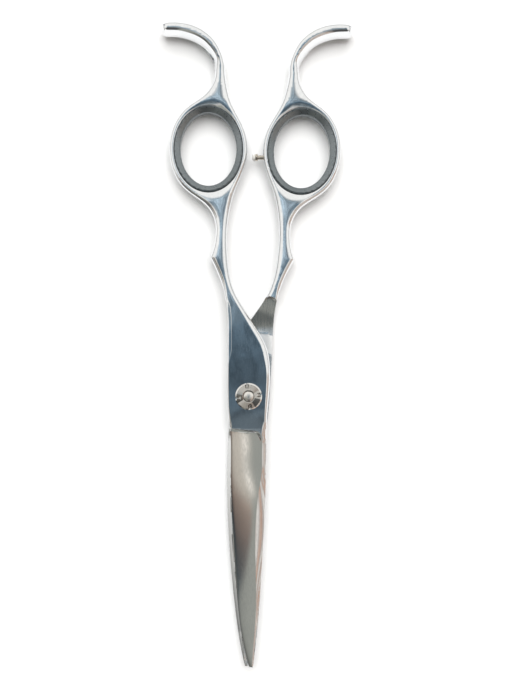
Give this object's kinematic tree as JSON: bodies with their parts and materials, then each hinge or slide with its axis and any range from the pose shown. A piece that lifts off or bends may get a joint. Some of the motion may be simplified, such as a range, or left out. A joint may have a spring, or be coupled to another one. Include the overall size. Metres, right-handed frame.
{
  "type": "hair cutting shears",
  "caption": "Hair cutting shears with crossing polished blades, finger rings with soft inserts, curled finger rests, a closing bumper and a click tension dial on the pivot.",
  "frame": {"origin": "on the pivot axis, at the plane where the inner faces of the two halves meet", "axes": "+Z out of the front face along the pivot axis, +Y towards the handles, -Y towards the blade tips, +X to the right seen from the front"},
  "size_m": [0.06, 0.2015, 0.008],
  "materials": {
    "polished_steel": "mirror-polished forged steel with a satin ground inner face",
    "dial_metal": "warm polished nickel-plated steel",
    "bolt_metal": "turned and polished steel",
    "ring_insert": "satin anthracite elastomer",
    "bumper_metal": "turned steel, satin",
    "bumper_soft": "pale translucent elastomer",
    "spring_steel": "plain rolled spring steel",
    "bush_bronze": "bored bronze",
    "washer_plastic": "low-friction white plastic"
  },
  "bodies": {
    "back": {"back_half": "polished_steel", "back_ring_insert": "ring_insert", "bumper_stem": "bumper_metal", "bumper_cap": "bumper_soft", "pivot_bolt": "bolt_metal", "glide_washer": "washer_plastic", "disc_spring": "spring_steel", "click_plate": "spring_steel"},
    "front": {"front_half": "polished_steel", "front_ring_insert": "ring_insert", "pivot_bush": "bush_bronze"},
    "dial": {"tension_dial": "dial_metal"}
  },
  "joints": [
    {"name": "pivot", "type": "hinge", "parent": "back", "child": "front", "pos_m": [0, 0, 0], "axis": [0, 0, 1], "range_deg": [-1, 70]},
    {"name": "dial_turn", "type": "hinge", "parent": "back", "child": "dial", "pos_m": [0, 0, 0], "axis": [0, 0, 1], "range_deg": [-60, 60]}
  ]
}
